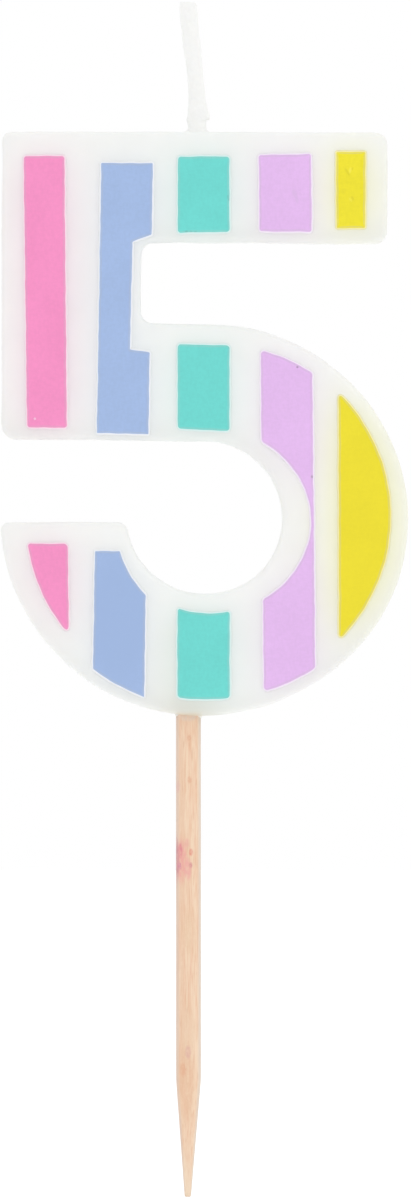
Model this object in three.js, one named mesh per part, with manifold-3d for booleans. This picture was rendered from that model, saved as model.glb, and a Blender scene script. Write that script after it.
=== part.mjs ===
// Number candle, digit five: a flat wax digit with printed stripes, a cotton wick and a wooden pick.
// Millimetres. +X is to the right as the digit is read, -Y is towards the reader and +Z is up.
// The origin is on the pick's axis, level with the digit's lowest edge.

import * as THREE from 'three';
import { mergeVertices } from 'three/addons/utils/BufferGeometryUtils.js';
import Module from 'manifold-3d';

// The wax digit
const digitWidth = 50.56;       // across the bowl, its widest place
const thickness = 6;            // front face to back face
const bowlHeight = 48.68;       // lowest edge of the digit to the top of the waist
const notchHeight = 9.82;       // open gap between the waist and the bar
const barHeight = 13.9;         // the bar across the top
const barSetback = 2.58;        // the bar's end, in from the bowl's right side
const stemSetback = 0.11;       // the stem's left edge, in from the bowl's left side
const stemWidth = 17.34;
const waistHeight = 14.68;      // from the stem's underside up to the waist's top
const counterRadius = 9.45;     // the round open bay inside the bowl
const counterShift = 0.1;       // the bay's centre, right of the bowl's centre
const tailDrop = 0.55;          // the tail's upper edge, below the bay's centre
const outerCorner = 1.2;        // corner radii seen from the front
const tailCorner = 1;
const notchCorner = 1.4;
const rimRadius = 0.7;          // rounding of the front and back edges

// The wooden pick
const pickDiameter = 3;
const pickShift = 2.02;         // the pick's axis, left of the bowl's centre
const pickLength = 59.8;        // below the digit
const pickTaper = 15.9;         // length of the turned point
const pickBlend = 1.2;          // length over which the stick eases into the taper
const pickTip = 0.75;           // diameter of the blunt tip
const pickCover = 3;            // wax left between the pick's upper end and the bay

// The cotton wick, dipped in wax
const wickDiameter = 2;
const wickShift = 0.2;          // right of the middle of the bar
const wickLength = 16.2;        // above the digit
const wickLean = 1.24;          // how far its tip leans to the left
const wickTipRound = 0.5;       // height of its rounded tip
const wickCover = 3.9;          // wax left between the wick's lower end and the bar's underside

// How the wick and the pick sit in the wax
const holeClearance = 0.1;      // around each, and past its end
const pickCollarWidth = 0.6;    // collar of wax that crept down the pick
const pickCollarDrop = 0.3;
const wickCollarWidth = 0.4;    // collar of wax that crept up the wick
const wickCollarRise = 0.25;

// The printed stripes. Five bands run down the digit, and each is cut back from the digit's edges.
const printThickness = 0.15;
const printCorner = 0.25;
const firstBandInset = 2.74;    // the first band's left edge, in from the stem's left edge
const lastBandInset = 9;        // the last band's left edge, in from the bowl's right side
const bandWidth = 6.42;
const pinkWidth = 5.09;         // the first band is cut narrower along the stem's edge
const yellowEndMargin = 2.72;   // the last band stops this far from the bar's end
const neckWidth = 0.36;         // what is left of the lilac stripe beside the bay
const lilacInnerRise = 2.27;    // how much the lilac stripe's inner curve is taller than the bay
const lilacInnerDrop = 0.3;     // and how far its centre lies below the bay's
const stemPrintMargin = 1.02;   // blue print to the stem's right edge, at the top of the notch
const stemPrintDrift = 0.31;    // how much wider that margin is at the bottom of the notch

// Margins from each stripe's upper and lower side to the wax edge that it faces, at its left and right
const pinkStemMargins = { top: [3.01, 3.01], bottom: [1.64, 1.64] };
const blueStemMargins = { top: [3.88, 3.88], cut: [0.4, 1.27], step: [3.15, 3.55], bottom: [1.05, 0.92] };
const tealBarMargins = { top: [3.07, 3.07], bottom: [1.33, 1.46] };
const lilacBarMargins = { top: [2.94, 2.82], bottom: [1.51, 1.51] };
const yellowBarMargins = { top: [2.5, 2.5], bottom: [1.92, 1.92] };
const tealWaistMargins = { top: [2.66, 2.88], bottom: [1.51, 1.22] };
const pinkTailMargins = { top: 2.68, bowl: 2.98 };
const blueTailMargins = { top: 3.6, bowl: 1.36, bay: [1.72, 3.37] };
const tealBaseMargins = { bowl: 1.98, bay: [2.43, 2.43] };
const lilacBowlMargins = { upperBowl: 2.11, lowerBowl: 1.74 };
const yellowBowlMargins = { bowl: 2.3, rise: 0.35 };

// How the wick's radius grows and shrinks: height above the bar, and what is added to the radius there
const wickSwellings = [
  [0.5, 0], [0.6, 0.1], [1.4, 0.3], [2.1, 0.34], [3.7, 0.08], [6, -0.05], [9, 0.03], [12, 0.09], [14.6, 0],
];

// The hollow side of a wax collar: distance out from the pin and along it, as shares of its size
const collarCurve = [[1, 0], [0.45, 0.25], [0.25, 0.55], [0.12, 1]];

// Rounded corners. The handle share makes a curve through a square corner round, and a corner takes
// no more than its share of a short side.
const handleShare = 0.5523;
const sideShare = 0.45;

// Smoothness of the curves
const bowlSteps = 72;
const baySteps = 44;
const printArcSteps = 14;
const cornerSteps = 4;
const rimSteps = 3;
const roundSides = 28;
const wickSides = 16;
const wickSteps = 16;

// Places that the pieces share
const bowlX = pickShift;
const bowlZ = bowlHeight / 2;
const bowlRight = bowlX + digitWidth / 2;
const stemLeft = bowlX - digitWidth / 2 + stemSetback;
const stemRight = stemLeft + stemWidth;
const barRight = bowlRight - barSetback;
const barBottom = bowlHeight + notchHeight;
const digitTop = barBottom + barHeight;
const stemBottom = bowlHeight - waistHeight;
const bayX = bowlX + counterShift;
const bayZ = stemBottom - counterRadius;
const tailTop = bayZ - tailDrop;
const wickX = (stemLeft + barRight) / 2 + wickShift;
const pickTop = bayZ - counterRadius - pickCover;
const wickBottom = barBottom + wickCover;
const bowlUnderPick = bowlZ * (1 - Math.sqrt(1 - (bowlX / (digitWidth / 2)) ** 2));

const bandPitch = (bowlRight - lastBandInset - stemLeft - firstBandInset) / 4;
const firstBand = stemLeft + firstBandInset;

// shift is how far a band was placed off its even spacing, and lean how far right it drifts per mm down
const pink = { left: firstBand, width: pinkWidth, lean: 0.01, colour: 0xf696c7 };
const blue = { left: firstBand + bandPitch + 0.02, width: bandWidth, lean: -0.0156, colour: 0xa5bce3 };
const teal = { left: firstBand + 2 * bandPitch - 0.22, width: bandWidth, lean: 0, colour: 0x76d9d1 };
const lilac = { left: firstBand + 3 * bandPitch + 0.1, width: bandWidth, lean: 0.0094, colour: 0xe5bdef };
const yellow = { left: firstBand + 4 * bandPitch, width: bandWidth, lean: 0.0075, colour: 0xf0e242 };

// Flat pieces are drawn as seen from the front and built up towards the reader, and turned pieces are
// drawn upright. This stands them up: the drawing's y becomes +Z, and its z becomes -Y.
const standUp = new THREE.Matrix4().makeBasis(
  new THREE.Vector3(1, 0, 0),
  new THREE.Vector3(0, 0, 1),
  new THREE.Vector3(0, -1, 0),
);

const waxFinish = new THREE.MeshStandardMaterial({ color: 0xf3f4f2, roughness: 0.45, metalness: 0 });
const wickFinish = new THREE.MeshStandardMaterial({ color: 0xf4f4f1, roughness: 0.8, metalness: 0 });
const woodFinish = new THREE.MeshStandardMaterial({ color: 0xedcdb3, roughness: 0.7, metalness: 0 });

function point(x, z) {
  return new THREE.Vector2(x, z);
}

function line(from, to, corner) {
  return { curve: new THREE.LineCurve(from, to), corner, steps: 1 };
}

// An oval in the drawing, larger than the bowl or the bay by the two amounts given
function oval(x, z, radiusX, radiusZ) {
  return { x, z, radiusX, radiusZ };
}

function insideBowl(margin) {
  return oval(bowlX, bowlZ, digitWidth / 2 - margin, bowlHeight / 2 - margin);
}

function aroundBay([marginX, marginZ]) {
  return oval(bayX, bayZ, counterRadius + marginX, counterRadius + marginZ);
}

function angleOn(shape, place) {
  return Math.atan2((place.y - shape.z) / shape.radiusZ, (place.x - shape.x) / shape.radiusX);
}

function arc(shape, from, to, clockwise, corner, steps) {
  const start = angleOn(shape, from);
  const end = angleOn(shape, to);
  const { x, z, radiusX, radiusZ } = shape;
  return { curve: new THREE.EllipseCurve(x, z, radiusX, radiusZ, start, end, clockwise), corner, steps };
}

// Where an oval crosses a height, on its left (side -1) or right (side 1)
function acrossOval(shape, z, side) {
  return point(shape.x + side * shape.radiusX * Math.sqrt(1 - ((z - shape.z) / shape.radiusZ) ** 2), z);
}

// The sides of a piece, joined end to end. A side's corner is the radius between it and the next one.
function outlineOf(sides) {
  const points = [];
  sides.forEach((side, index) => {
    const next = sides[(index + 1) % sides.length];
    const before = sides.at(index - 1);
    const length = side.curve.getLength();
    const start = Math.min(before.corner / length, sideShare);
    const end = 1 - Math.min(side.corner / length, sideShare);
    for (let step = 0; step <= side.steps; step++) {
      points.push(side.curve.getPointAt(start + (end - start) * step / side.steps));
    }
    if (side.corner === 0) {
      points.pop();
      return;
    }
    const apex = side.curve.getPointAt(1);
    const last = points.at(-1);
    const following = next.curve.getPointAt(Math.min(side.corner / next.curve.getLength(), sideShare));
    const bend = new THREE.CubicBezierCurve(
      last,
      last.clone().lerp(apex, handleShare),
      following.clone().lerp(apex, handleShare),
      following,
    );
    points.push(...bend.getPoints(cornerSteps).slice(1, -1));
  });
  return new THREE.Shape(points);
}

function polygonSides(corners, radius) {
  return corners.map((corner, index) => line(corner, corners[(index + 1) % corners.length], radius));
}

function toSolid(geometry) {
  const bare = geometry.clone();
  bare.deleteAttribute('normal');
  bare.deleteAttribute('uv');
  const welded = mergeVertices(bare);
  return new wasm.Manifold(new wasm.Mesh({
    numProp: 3,
    vertProperties: welded.attributes.position.array,
    triVerts: new Uint32Array(welded.index.array),
  }));
}

function toGeometry(solid) {
  const mesh = solid.getMesh();
  const geometry = new THREE.BufferGeometry();
  geometry.setAttribute('position', new THREE.BufferAttribute(mesh.vertProperties, 3));
  geometry.setIndex(new THREE.BufferAttribute(mesh.triVerts, 1));
  geometry.computeVertexNormals();
  return geometry;
}

function named(name, geometry, material) {
  const mesh = new THREE.Mesh(geometry, material);
  mesh.name = name;
  return mesh;
}

function turned(profile, sides) {
  const points = profile.map(([radius, height]) => point(radius, height));
  return new THREE.LatheGeometry(points, sides).applyMatrix4(standUp);
}

function digitOutline() {
  const bowl = insideBowl(0);
  const bay = aroundBay([0, 0]);
  const topLeft = point(stemLeft, digitTop);
  const topRight = point(barRight, digitTop);
  const barEnd = point(barRight, barBottom);
  const notchUpper = point(stemRight, barBottom);
  const notchLower = point(stemRight, bowlHeight);
  const waistTop = point(bowlX, bowlHeight);
  const tailTip = acrossOval(bowl, tailTop, -1);
  const tailEnd = acrossOval(bay, tailTop, -1);
  const bayTop = point(bayX, stemBottom);
  const stemFoot = point(stemLeft, stemBottom);
  return outlineOf([
    line(topLeft, topRight, outerCorner),
    line(topRight, barEnd, outerCorner),
    line(barEnd, notchUpper, notchCorner),
    line(notchUpper, notchLower, notchCorner),
    line(notchLower, waistTop, 0),
    arc(bowl, waistTop, tailTip, true, tailCorner, bowlSteps),
    line(tailTip, tailEnd, tailCorner),
    arc(bay, tailEnd, bayTop, false, 0, baySteps),
    line(bayTop, stemFoot, outerCorner),
    line(stemFoot, topLeft, outerCorner),
  ]);
}

// A ring of wax drawn out along a pin by reach, which is negative below the digit. Its side is hollow,
// and it starts as deep inside the digit as it is wide.
function collar(pinRadius, width, surface, reach) {
  const root = surface - Math.sign(reach) * width;
  const core = pinRadius / 2;
  const profile = [
    [core, root],
    [pinRadius + width, root],
    ...collarCurve.map(([out, along]) => [pinRadius + width * out, surface + reach * along]),
    [core, surface + reach],
    [core, root],
  ];
  return reach > 0 ? profile : profile.reverse();
}

// The profile of a blind hole for a pin, from beyond the digit's edge to just past the pin's end
function holeProfile(radius, low, high) {
  return [[0, low], [radius, low], [radius, high], [0, high]];
}

function waxDigit() {
  const plate = new THREE.ExtrudeGeometry(digitOutline(), {
    depth: thickness - 2 * rimRadius,
    bevelThickness: rimRadius,
    bevelSize: rimRadius,
    bevelOffset: -rimRadius,
    bevelSegments: rimSteps,
  });
  plate.translate(0, 0, rimRadius - thickness / 2).applyMatrix4(standUp);
  const pickRadius = pickDiameter / 2 + holeClearance;
  const wickRadius = wickDiameter / 2 + holeClearance;
  const pickCollar = collar(pickRadius, pickCollarWidth, bowlUnderPick, -pickCollarDrop);
  const wickCollar = collar(wickRadius, wickCollarWidth, digitTop, wickCollarRise);
  const pickHole = holeProfile(pickRadius, -2 * pickCollarDrop, pickTop + holeClearance);
  const wickHole = holeProfile(wickRadius, wickBottom - holeClearance, digitTop + 2 * wickCollarRise);
  const solid = toSolid(plate)
    .add(toSolid(turned(pickCollar, roundSides)))
    .add(toSolid(turned(wickCollar, roundSides).translate(wickX, 0, 0)))
    .subtract(toSolid(turned(pickHole, roundSides)))
    .subtract(toSolid(turned(wickHole, roundSides).translate(wickX, 0, 0)));
  return named('wax_digit', toGeometry(solid), waxFinish);
}

// A round stick: plain in the wax and below it, then turned down to a blunt point
function woodenPick() {
  const radius = pickDiameter / 2;
  const shoulder = -(pickLength - pickTaper);
  const taperSlope = (radius - pickTip / 2) / pickTaper;
  const profile = [
    [0, -pickLength],
    [pickTip / 2, -pickLength],
    [radius - taperSlope * pickBlend, shoulder - pickBlend],
    [radius - taperSlope * pickBlend / 4, shoulder],
    [radius, shoulder + pickBlend],
    [radius, pickTop],
    [0, pickTop],
  ];
  return named('wooden_pick', turned(profile, roundSides), woodFinish);
}

// The wick stands straight in the wax. Above it, the waxed cotton swells near its foot and again higher
// up, and leans over by the square of its height.
function wick() {
  const radius = wickDiameter / 2;
  const swelling = wickSwellings.map(([height, extra]) => point(radius + extra, digitTop + height));
  const body = new THREE.SplineCurve(swelling);
  const tip = digitTop + wickLength;
  const profile = [
    [0, wickBottom],
    [radius, wickBottom],
    ...body.getPoints(wickSteps).map((place) => [place.x, place.y]),
    [radius - wickTipRound / 4, tip - wickTipRound],
    [radius - wickTipRound, tip],
    [0, tip],
  ];
  const geometry = turned(profile, wickSides);
  const places = geometry.attributes.position;
  for (let index = 0; index < places.count; index++) {
    const rise = Math.max(places.getZ(index) - digitTop, 0) / wickLength;
    places.setX(index, places.getX(index) - wickLean * rise ** 2);
  }
  const mesh = named('wick', geometry, wickFinish);
  mesh.position.x = wickX;
  return mesh;
}

function leftOf(band, z) {
  return point(band.left + band.lean * (digitTop - z), z);
}

function rightOf(band, z) {
  return point(band.left + band.width + band.lean * (digitTop - z), z);
}

// Where a band's edge meets an oval, above (side 1) or below (side -1) the oval's middle
function meet(edgeOf, band, shape, side) {
  let z = shape.z;
  for (let pass = 0; pass < 6; pass++) {
    const across = (edgeOf(band, z).x - shape.x) / shape.radiusX;
    z = shape.z + side * shape.radiusZ * Math.sqrt(1 - across ** 2);
  }
  return edgeOf(band, z);
}

function printed(name, band, sides) {
  const film = new THREE.ExtrudeGeometry(outlineOf(sides), { depth: printThickness, bevelEnabled: false });
  const ink = new THREE.MeshStandardMaterial({ color: band.colour, roughness: 0.5, metalness: 0 });
  const mesh = named(name, film.applyMatrix4(standUp), ink);
  mesh.position.y = -thickness / 2;
  return mesh;
}

// A four-sided stretch of a band between two wax edges
function straightStripe(name, band, upperEdge, lowerEdge, margins) {
  const corners = [
    leftOf(band, upperEdge - margins.top[0]),
    rightOf(band, upperEdge - margins.top[1]),
    rightOf(band, lowerEdge + margins.bottom[1]),
    leftOf(band, lowerEdge + margins.bottom[0]),
  ];
  return printed(name, band, polygonSides(corners, printCorner));
}

// The blue band keeps clear of the notch: it is cut in under the bar and steps out again at the waist
function blueStem() {
  const margins = blueStemMargins;
  const cutRight = rightOf(blue, barBottom + margins.cut[1]);
  const stepRight = rightOf(blue, bowlHeight - margins.step[1]);
  const upperInner = Math.min(stemRight - stemPrintMargin, cutRight.x);
  const lowerInner = Math.min(stemRight - stemPrintMargin - stemPrintDrift, stepRight.x);
  const corners = [
    leftOf(blue, digitTop - margins.top[0]),
    rightOf(blue, digitTop - margins.top[1]),
    cutRight,
    point(upperInner, barBottom + margins.cut[0]),
    point(lowerInner, bowlHeight - margins.step[0]),
    stepRight,
    rightOf(blue, stemBottom + margins.bottom[1]),
    leftOf(blue, stemBottom + margins.bottom[0]),
  ];
  return printed('stripe_blue_stem', blue, polygonSides(corners, printCorner));
}

// The lilac band runs right down the bowl. It narrows to a neck where the bay comes nearest.
function lilacBowl() {
  const upper = insideBowl(lilacBowlMargins.upperBowl);
  const lower = insideBowl(lilacBowlMargins.lowerBowl);
  const innerZ = bayZ - lilacInnerDrop;
  const innerReach = rightOf(lilac, innerZ).x - neckWidth - bayX;
  const inner = oval(bayX, innerZ, innerReach, counterRadius + lilacInnerRise);
  const upperLeft = meet(leftOf, lilac, upper, 1);
  const upperRight = meet(rightOf, lilac, upper, 1);
  const lowerRight = meet(rightOf, lilac, lower, -1);
  const lowerLeft = meet(leftOf, lilac, lower, -1);
  const innerLower = meet(leftOf, lilac, inner, -1);
  const innerUpper = meet(leftOf, lilac, inner, 1);
  return printed('stripe_lilac_bowl', lilac, [
    arc(upper, upperLeft, upperRight, true, printCorner, printArcSteps),
    line(upperRight, lowerRight, printCorner),
    arc(lower, lowerRight, lowerLeft, true, printCorner, printArcSteps),
    line(lowerLeft, innerLower, printCorner),
    arc(inner, innerLower, innerUpper, false, printCorner, 2 * printArcSteps),
    line(innerUpper, upperLeft, printCorner),
  ]);
}

function yellowBowl() {
  const edge = insideBowl(yellowBowlMargins.bowl);
  edge.z += yellowBowlMargins.rise;
  const upper = meet(leftOf, yellow, edge, 1);
  const lower = meet(leftOf, yellow, edge, -1);
  return printed('stripe_yellow_bowl', yellow, [
    arc(edge, upper, lower, true, printCorner, 2 * printArcSteps),
    line(lower, upper, printCorner),
  ]);
}

function pinkTail() {
  const edge = insideBowl(pinkTailMargins.bowl);
  const upperZ = tailTop - pinkTailMargins.top;
  const upperLeft = acrossOval(edge, upperZ, -1);
  const upperRight = rightOf(pink, upperZ);
  const tip = meet(rightOf, pink, edge, -1);
  return printed('stripe_pink_tail', pink, [
    line(upperLeft, upperRight, printCorner),
    line(upperRight, tip, printCorner),
    arc(edge, tip, upperLeft, true, printCorner, printArcSteps),
  ]);
}

function blueTail() {
  const edge = insideBowl(blueTailMargins.bowl);
  const inner = aroundBay(blueTailMargins.bay);
  const upperZ = tailTop - blueTailMargins.top;
  const upperLeft = leftOf(blue, upperZ);
  const upperRight = acrossOval(inner, upperZ, -1);
  const innerLower = meet(rightOf, blue, inner, -1);
  const lowerRight = meet(rightOf, blue, edge, -1);
  const lowerLeft = meet(leftOf, blue, edge, -1);
  return printed('stripe_blue_tail', blue, [
    line(upperLeft, upperRight, printCorner),
    arc(inner, upperRight, innerLower, false, printCorner, printArcSteps),
    line(innerLower, lowerRight, printCorner),
    arc(edge, lowerRight, lowerLeft, true, printCorner, printArcSteps),
    line(lowerLeft, upperLeft, printCorner),
  ]);
}

function tealBase() {
  const edge = insideBowl(tealBaseMargins.bowl);
  const inner = aroundBay(tealBaseMargins.bay);
  const upperLeft = meet(leftOf, teal, inner, -1);
  const upperRight = meet(rightOf, teal, inner, -1);
  const lowerRight = meet(rightOf, teal, edge, -1);
  const lowerLeft = meet(leftOf, teal, edge, -1);
  return printed('stripe_teal_base', teal, [
    arc(inner, upperLeft, upperRight, false, printCorner, printArcSteps),
    line(upperRight, lowerRight, printCorner),
    arc(edge, lowerRight, lowerLeft, true, printCorner, printArcSteps),
    line(lowerLeft, upperLeft, printCorner),
  ]);
}

const wasm = await Module();
wasm.setup();

const shortYellow = { ...yellow, width: barRight - yellowEndMargin - yellow.left };

const stripes = new THREE.Group();
stripes.add(
  straightStripe('stripe_pink_stem', pink, digitTop, stemBottom, pinkStemMargins),
  blueStem(),
  straightStripe('stripe_teal_bar', teal, digitTop, barBottom, tealBarMargins),
  straightStripe('stripe_lilac_bar', lilac, digitTop, barBottom, lilacBarMargins),
  straightStripe('stripe_yellow_bar', shortYellow, digitTop, barBottom, yellowBarMargins),
  straightStripe('stripe_teal_waist', teal, bowlHeight, stemBottom, tealWaistMargins),
  lilacBowl(),
  yellowBowl(),
  pinkTail(),
  blueTail(),
  tealBase(),
);

const candle = new THREE.Group();
candle.add(waxDigit(), wick(), woodenPick(), stripes);

export default candle;
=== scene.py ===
import bpy
import numpy as np
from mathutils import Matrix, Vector


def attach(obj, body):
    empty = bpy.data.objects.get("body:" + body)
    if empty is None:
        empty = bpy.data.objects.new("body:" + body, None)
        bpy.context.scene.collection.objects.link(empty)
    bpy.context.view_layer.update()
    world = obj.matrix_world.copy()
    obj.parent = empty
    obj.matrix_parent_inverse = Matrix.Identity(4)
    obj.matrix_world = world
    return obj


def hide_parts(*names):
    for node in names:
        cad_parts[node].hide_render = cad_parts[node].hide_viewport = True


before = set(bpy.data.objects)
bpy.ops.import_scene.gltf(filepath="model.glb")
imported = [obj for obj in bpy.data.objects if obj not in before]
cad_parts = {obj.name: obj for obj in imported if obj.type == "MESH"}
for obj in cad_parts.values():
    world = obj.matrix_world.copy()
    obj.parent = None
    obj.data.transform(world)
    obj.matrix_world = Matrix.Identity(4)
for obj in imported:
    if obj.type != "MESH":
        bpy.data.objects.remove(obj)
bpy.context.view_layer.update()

# Number candle, digit five: a flat wax digit with printed stripes, a waxed cotton wick and a wooden pick.
# +X is right as the digit is read, -Y is towards the reader, +Z is up. Lengths here are millimetres,
# and makeMesh turns them into metres.
mm = 0.001
scene = bpy.context.scene
scene.view_settings.view_transform = "Standard"


# Making meshes from arrays of points

def makeMesh(name, points, faceGroups, attributes=None):
    # points: one row per vertex; faceGroups: arrays of vertex numbers, one row per face
    mesh = bpy.data.meshes.new(name)
    faces = [row for group in faceGroups for row in np.asarray(group).tolist()]
    mesh.from_pydata((np.asarray(points, float) * mm).tolist(), [], faces)
    small = [np.asarray(group).shape[1] < 5 for group in faceGroups]
    smooth = np.repeat(small, [len(group) for group in faceGroups])
    mesh.polygons.foreach_set("use_smooth", smooth)
    for label, values in (attributes or {}).items():
        values = np.asarray(values, np.float32)
        if values.ndim == 1:
            mesh.attributes.new(label, "FLOAT", "POINT").data.foreach_set("value", values)
        else:
            rgba = np.column_stack([values, np.ones(len(values), np.float32)])
            mesh.attributes.new(label, "FLOAT_COLOR", "POINT").data.foreach_set("color", rgba.ravel())
    mesh.update()
    piece = bpy.data.objects.new(name, mesh)
    scene.collection.objects.link(piece)
    return piece


def gridFaces(numbers, aroundColumns=False):
    # quads between neighbouring rows and columns of a table of vertex numbers
    table = np.column_stack([numbers, numbers[:, :1]]) if aroundColumns else numbers
    corners = (table[:-1, :-1], table[:-1, 1:], table[1:, 1:], table[1:, :-1])
    return np.stack([corner.ravel() for corner in corners], axis=1)


def ringsRound(x, radius, angle, height):
    # the rings of a tube round an upright line at x
    return np.stack([x + radius * np.cos(angle), radius * np.sin(angle),
                     np.broadcast_to(height, radius.shape)], axis=-1)


def tubeMesh(name, rings, attributes=None):
    # rings[row, side] is a point on a closed tube; a fan of triangles to its own middle closes each end
    rows, sides = rings.shape[:2]
    points = np.concatenate([rings.reshape(-1, 3), rings[:1].mean(1), rings[-1:].mean(1)])
    numbers = np.arange(rows * sides).reshape(rows, sides)
    low, high = numbers[0], numbers[-1]
    bottom = np.stack([np.full(sides, rows * sides), np.roll(low, -1), low], axis=1)
    top = np.stack([np.full(sides, rows * sides + 1), high, np.roll(high, -1)], axis=1)
    return makeMesh(name, points, [gridFaces(numbers, True), bottom, top], attributes)


# Drawing the outlines

def runReach(run):
    # distance from the start of a run of points to each of them
    return np.concatenate([[0], np.cumsum(np.hypot(*np.diff(run, axis=0).T))])


def placesOn(run, distances):
    reach = runReach(run)
    return np.column_stack([np.interp(distances, reach, run[:, axis]) for axis in (0, 1)])


def curved(oval, start, end, turn):
    # centre + radii * (cos, sin) of an angle from start to end; turn is -1 clockwise and 1 the other way
    x, z, radiusX, radiusZ = oval
    first, last = (np.arctan2((p[1] - z) / radiusZ, (p[0] - x) / radiusX) for p in (start, end))
    last += 2 * np.pi * turn * (turn * (last - first) < 0)
    angle = np.linspace(first, last, 500)
    return np.column_stack([x + radiusX * np.cos(angle), z + radiusZ * np.sin(angle)])


def sidesOf(*corners):
    # each corner is its place and, where a curved side leaves it, the oval and the way round
    return [curved(way[0], start, end, way[1]) if way else np.linspace(start, end, 3)
            for (start, *way), (end, *_) in zip(corners, corners[1:] + corners[:1])]


def roundOff(sides, spacing):
    # A closed outline from runs of points. Each side ends in a corner: the two runs are cut back by its
    # length, and a cubic curve with handles along them joins them.
    # Gives the points, and the number of the middle point of each corner.
    runs, marks, count = [], [], 0
    share, handle = 0.45, 0.5523    # the most of a side that a corner takes, and of the way to its point
    for index, (run, corner) in enumerate(sides):
        following = sides[(index + 1) % len(sides)][0]
        length, nextLength = runReach(run)[-1], runReach(following)[-1]
        head = min(sides[index - 1][1], share * length)
        tail = length - min(corner, share * length)
        part = placesOn(run, np.linspace(head, tail, max(int((tail - head) / spacing), 2) + 1))
        if corner == 0:
            part = part[:-1]
            marks.append(count + len(part))
        else:
            start, apex = part[-1], run[-1]
            end = placesOn(following, [min(corner, share * nextLength)])[0]
            t = np.linspace(0, 1, 17)[1:-1, None]
            inner, outer = start + handle * (apex - start), end + handle * (apex - end)
            bend = ((1 - t) ** 3 * start + 3 * (1 - t) ** 2 * t * inner
                    + 3 * (1 - t) * t ** 2 * outer + t ** 3 * end)
            marks.append(count + len(part) + len(bend) // 2)
            part = np.concatenate([part, bend])
        runs.append(part)
        count += len(part)
    return np.concatenate(runs), [mark % count for mark in marks]


def inwards(outline):
    # unit vectors to the right of the way round, which is inwards because outlines run clockwise
    along = np.roll(outline, -1, axis=0) - np.roll(outline, 1, axis=0)
    along /= np.maximum(np.linalg.norm(along, axis=1, keepdims=True), 1e-9)
    return np.column_stack([along[:, 1], -along[:, 0]])


def wavy(outline, size, waves, seed):
    # moves each point along its inward direction by a sum of sines of the distance round the outline
    random = np.random.default_rng(seed)
    reach = runReach(np.concatenate([outline, outline[:1]]))
    offset = random.uniform(0, 2 * np.pi, len(waves))
    phase = 2 * np.pi * reach[:-1, None] / reach[-1] * np.array(waves) + offset
    ripple = np.sin(phase).sum(1) * size / np.sqrt(len(waves))
    return outline + inwards(outline) * ripple[:, None]


# The digit's shape

digit = {
    "width": 50.56, "thickness": 6.0, "bowlHeight": 48.68, "notchHeight": 9.82, "barHeight": 13.9,
    "barSetback": 2.58, "stemSetback": 0.11, "stemWidth": 17.34, "waistHeight": 14.68,
    "counterRadius": 9.45, "counterShift": 0.1, "tailDrop": 0.55, "bowlShift": 2.02,
    # the bar's lower edge rises a little to the left, and so does the stem's foot
    "barRise": 0.1, "footRise": 0.24,
    # how much the bay widens beside the tail, and how far each corner is cut back for its rounding
    "bayWidening": 0.28, "rimRadius": 0.75,
    "corners": {"topRight": 1.45, "barEnd": 1.55, "notchUpper": 1.4, "notchLower": 1.4, "waistTop": 0,
                "tailTip": 1.1, "tailEnd": 1.2, "bayTop": 0, "stemFoot": 1.8, "topLeft": 1.2},
    "edgeWave": 0.03, "edgeWaves": [7, 11, 16, 23, 31, 44], "seed": 5,
    # spacing of the outline's points; cell size of the wax mesh, cells across the stroke, rows of a rim
    # and of the side, and cells over which a face bends to meet its ends
    "outlineSpacing": 0.1, "spacing": 0.45, "acrossCells": 32, "rimRows": 7, "sideRows": 6, "endBlend": 14,
    # shallow swells and dents of the moulded edge: x and z of the middle, reach, move to the right and up
    "swells": [
        (-8.5, 2.0, 8.0, -0.02, -0.12), (13.3, 2.6, 4.5, 0.0, 0.13), (2.6, 48.7, 4.5, 0.0, -0.16),
        (-11.5, 34.1, 5.0, 0.0, 0.05), (10.4, 19.8, 5.5, 0.12, -0.08), (-1.5, 58.6, 4.0, 0.0, 0.13),
        (8.5, 58.5, 4.5, 0.0, 0.09), (-23.1, 68.4, 3.0, 0.17, 0.0), (-5.8, 52.0, 3.0, -0.13, 0.0),
        (18.5, 72.4, 8.0, 0.0, -0.09), (-6.5, 72.4, 4.0, 0.0, 0.07),
    ],
}
bowlTop, bowlHalf, bayRadius = digit["bowlHeight"], digit["width"] / 2, digit["counterRadius"]
bowlX, bowlZ = digit["bowlShift"], bowlTop / 2
bowlRight = bowlX + bowlHalf
stemLeft = bowlX - bowlHalf + digit["stemSetback"]
stemRight = stemLeft + digit["stemWidth"]
barRight = bowlRight - digit["barSetback"]
barBottom = bowlTop + digit["notchHeight"]
digitTop = barBottom + digit["barHeight"]
stemBottom = bowlTop - digit["waistHeight"]
bayX, bayZ = bowlX + digit["counterShift"], stemBottom - bayRadius
tailTop = bayZ - digit["tailDrop"]
frontY = -digit["thickness"] / 2


def insideBowl(margin, right=0, up=0):
    return (bowlX + right, bowlZ + up, bowlHalf - margin, bowlTop / 2 - margin)


def aroundBay(marginX, marginZ, right=0):
    return (bayX + right, bayZ, bayRadius + marginX, bayRadius + marginZ)


def acrossOval(oval, z, side):
    return np.array([oval[0] + side * oval[2] * np.sqrt(1 - ((z - oval[1]) / oval[3]) ** 2), z])


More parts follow.
